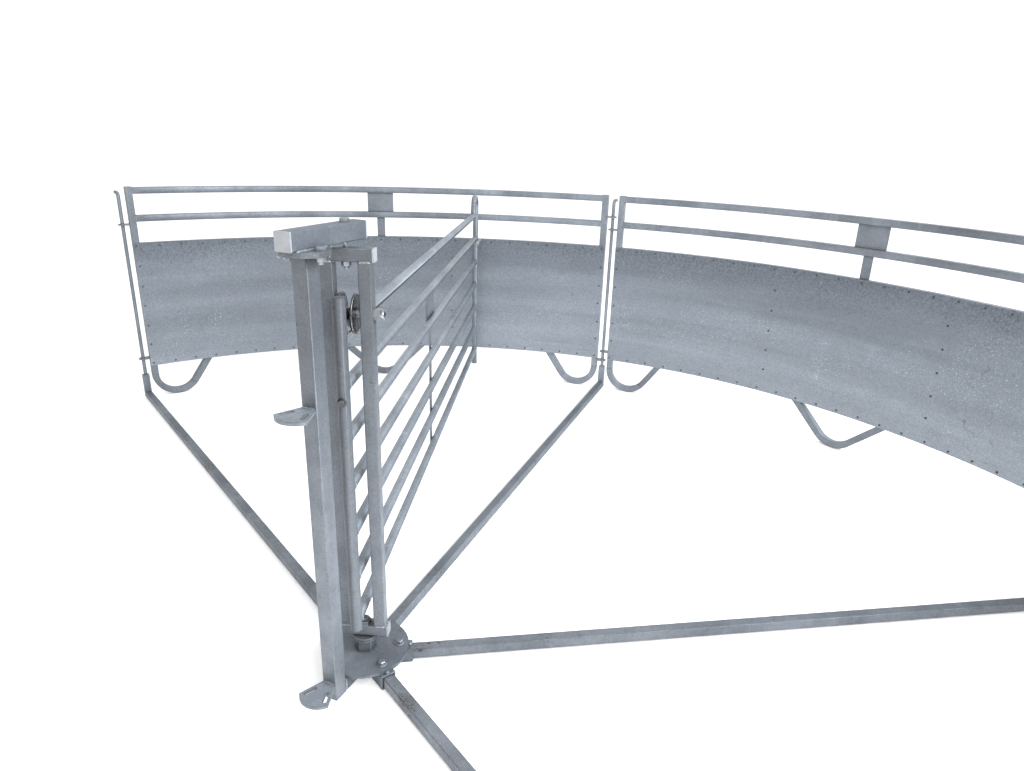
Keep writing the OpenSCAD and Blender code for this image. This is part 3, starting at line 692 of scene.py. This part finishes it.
# Weld beads of the panels: rails on the posts, eyes on the posts, feet under the lower rail
EYE_RISE, EYE_HALF, FOOT_SHORT = 0.006, 0.014, 0.003
FOOT_REACH = (FOOT_BEND + FOOT_BEND * math.sin(FOOT_SLOPE)
              + (FOOT_DROP + FOOT_BEND * math.cos(FOOT_SLOPE)) / math.tan(FOOT_SLOPE))
h = HALF_TUBE
for number, angle in enumerate(PANEL_ANGLES, 1):
    welds = Pieces(f"panel_welds_{number}", "base", "weld_metal", "tube_zinc")
    for side in (-1, 1):
        at = angle + side * (HALF_PANEL - POST_TURN)
        y = -side * h
        for low in PANEL_RAILS:
            high = low + TUBE
            bead(welds, on_fence(at, h, y, low + SHORT), on_fence(at, h, y, high - SHORT), THIN)
            if low > SHEET_HIGH:
                bead(welds, on_fence(at, -h, y, low + SHORT), on_fence(at, -h, y, high - SHORT), THIN)
                bead(welds, on_fence(at, -h + SHORT, y, high), on_fence(at, h - SHORT, y, high), THIN)
        for eye in EYE_LEVELS[side]:
            z = eye + EYE_RISE
            bead(welds, on_fence(at, -EYE_HALF, -y, z), on_fence(at, EYE_HALF, -y, z), EYE_BEAD)
        for edge in (-1, 1):
            along = -side * (FOOT_REACH + edge * h / math.sin(FOOT_SLOPE))
            foot = at + math.degrees(along / FENCE_R)
            ends = [on_fence(foot, out, 0, SHEET_LOW) for out in (-h + FOOT_SHORT, h - FOOT_SHORT)]
            bead(welds, *ends, THIN)
    welds.done()

# Frozen zinc drips under the flange, the arm and the lugs
FLANGE_DRIPS, FLANGE_EDGE = 16, FLANGE_R * 0.97
ARM_DRIPS, ARM_SPAN, ARM_EDGE = 6, (-0.16, 0.05), 0.0192
LUG_DRIPS, LUG_SPAN, LUG_SIDE = 3, (0.035, 0.060), (0.005, 0.02)
FLANGE_DRIP_Z, ARM_DRIP_Z, LUG_DRIP_DROP = POST_TOP + 0.0005, ARM_Z + 0.0004, 0.0078
DRIP_LENGTH, DRIP_SLIM = (0.0035, 0.0070), 0.9
drips = Pieces("zinc_drips", "base", "weld_metal", "tube_zinc")
turns = [rng.uniform(0, 2 * math.pi) for _ in range(FLANGE_DRIPS)]
spots = [on_post(FLANGE_EDGE * math.cos(t), FLANGE_EDGE * math.sin(t), FLANGE_DRIP_Z) for t in turns]
spots += [on_post(rng.uniform(*ARM_SPAN), side * ARM_EDGE, ARM_DRIP_Z)
          for side in (-1, 1) for _ in range(ARM_DRIPS)]
spots += [on_post(rng.uniform(*LUG_SPAN), rng.choice((-1, 1)) * rng.uniform(*LUG_SIDE), top - LUG_DRIP_DROP)
          for top in LUG_TOPS for _ in range(LUG_DRIPS)]
for spot in spots:
    length = rng.uniform(*DRIP_LENGTH)
    width = length * DRIP_SLIM
    drips.add(Matrix.Translation(spot) @ Matrix.Diagonal((width, width, length, 1)), drip)
drips.done()

# Camera from the photograph
CAMERA_AT = Vector((1.4261, -0.6758, 1.3436))
HEADING, PITCH, ROLL = math.radians(141.178), math.radians(-19.711), math.radians(1.715)
FOCAL_PIXELS, FRAME_WIDTH, SENSOR, VIEW_END = 708.0, 1024, 36.0, 1000.0
ahead = Vector((math.cos(HEADING) * math.cos(PITCH), math.sin(HEADING) * math.cos(PITCH), math.sin(PITCH)))
level = Vector((math.sin(HEADING), -math.cos(HEADING), 0))
above = level.cross(ahead)
right = level * math.cos(ROLL) + above * math.sin(ROLL)
up = above * math.cos(ROLL) - level * math.sin(ROLL)
camera = bpy.data.objects.new("camera", bpy.data.cameras.new("camera"))
bpy.context.collection.objects.link(camera)
camera.data.sensor_width = SENSOR
camera.data.lens = SENSOR * FOCAL_PIXELS / FRAME_WIDTH
camera.data.clip_end = VIEW_END
camera.matrix_world = Matrix.Translation(CAMERA_AT) @ Matrix((right, up, -ahead)).transposed().to_4x4()
bpy.context.scene.camera = camera


def studio_mesh(name, points, faces, material):
    """Mesh of the studio, which isn't part of the object."""
    mesh = bpy.data.meshes.new(name)
    mesh.from_pydata(points, [], faces)
    mesh.materials.append(material)
    o = bpy.data.objects.new(name, mesh)
    bpy.context.collection.objects.link(o)
    return o


# Pale floor, a hair under the feet
FLOOR_HALF, FLOOR_Z, FLOOR_GLOW = 300.0, -0.0005, 0.32
g = Graph("floor_pale")
floor_col = g.ramp(g.noise(1.5, 3.0, 0.5), (0.3, (0.88, 0.885, 0.89)), (0.7, (0.91, 0.91, 0.915)))
g.glow(FLOOR_GLOW)
corners = [(x * FLOOR_HALF, y * FLOOR_HALF, 0) for x, y in ((-1, -1), (1, -1), (1, 1), (-1, 1))]
floor = studio_mesh("floor", corners, [(0, 1, 2, 3)], g.finish(floor_col, 0.9, 0.0))
floor.location.z = FLOOR_Z

# White wall round the floor, seen by the camera but not by the light
WALL_R, WALL_LOW, WALL_TOP, WALL_SIDES = 280.0, -1.0, 400.0, 48
g = Graph("wall_white")
g.glow(1.0)
wall_points = [polar(360 * i / WALL_SIDES, WALL_R, z) for z in (WALL_LOW, WALL_TOP) for i in range(WALL_SIDES)]
wall_faces = []
for i in range(WALL_SIDES):
    j = (i + 1) % WALL_SIDES
    wall_faces.append((i, j, j + WALL_SIDES, i + WALL_SIDES))
wall = studio_mesh("wall", wall_points, wall_faces, g.finish((0.9, 0.9, 0.9, 1.0), 0.9, 0.0))
wall.visible_diffuse = wall.visible_glossy = wall.visible_transmission = wall.visible_shadow = False

# Room light: white behind the fence and overhead, dimmer elsewhere
ROOM_DIM, ROOM_WHITE, ROOM_STRENGTH = (0.70, 0.71, 0.725), (1.0, 1.0, 1.0), 1.05
BACKDROP = polar(141, 0.995, 0.1)
world = bpy.data.worlds.new("studio")
bpy.context.scene.world = world
world.use_nodes = True
tree = world.node_tree
way = tree.nodes.new("ShaderNodeTexCoord").outputs["Generated"]


def room_shade(towards, start, end):
    """Light of the room, which grows from dim to white towards one direction."""
    dot = tree.nodes.new("ShaderNodeVectorMath")
    dot.operation = "DOT_PRODUCT"
    dot.inputs[1].default_value = towards
    tree.links.new(way, dot.inputs[0])
    ramp = tree.nodes.new("ShaderNodeValToRGB")
    for item, pos, col in zip(ramp.color_ramp.elements, (start, end), (ROOM_DIM, ROOM_WHITE)):
        item.position, item.color = pos, (*col, 1)
    tree.links.new(dot.outputs["Value"], ramp.inputs["Fac"])
    return ramp.outputs["Color"]


room = tree.nodes.new("ShaderNodeMix")
room.data_type, room.blend_type = "RGBA", "LIGHTEN"
room.inputs[0].default_value = 1.0
tree.links.new(room_shade(BACKDROP, 0.50, 0.74), room.inputs[6])
tree.links.new(room_shade(UP, 0.45, 0.95), room.inputs[7])
sky = tree.nodes["Background"]
tree.links.new(room.outputs[2], sky.inputs["Color"])
sky.inputs["Strength"].default_value = ROOM_STRENGTH


# Two soft lights, both on the right
LIGHT_SIZE = 3.0


def area_light(name, at, aim, power, colour):
    data = bpy.data.lights.new(name, "AREA")
    data.energy, data.size, data.color = power, LIGHT_SIZE, colour
    o = bpy.data.objects.new(name, data)
    o.matrix_world = facing(Vector(at), Vector(at) - Vector(aim))
    bpy.context.collection.objects.link(o)


area_light("key", (4.2, 3.6, 4.6), (0, 0.3, 0.6), 410, (0.80, 0.915, 1.0))
area_light("fill", (4.7, -0.2, 3.4), (0, 0.3, 0.5), 240, (1, 1, 1))
bpy.context.scene.view_settings.view_transform = "Standard"
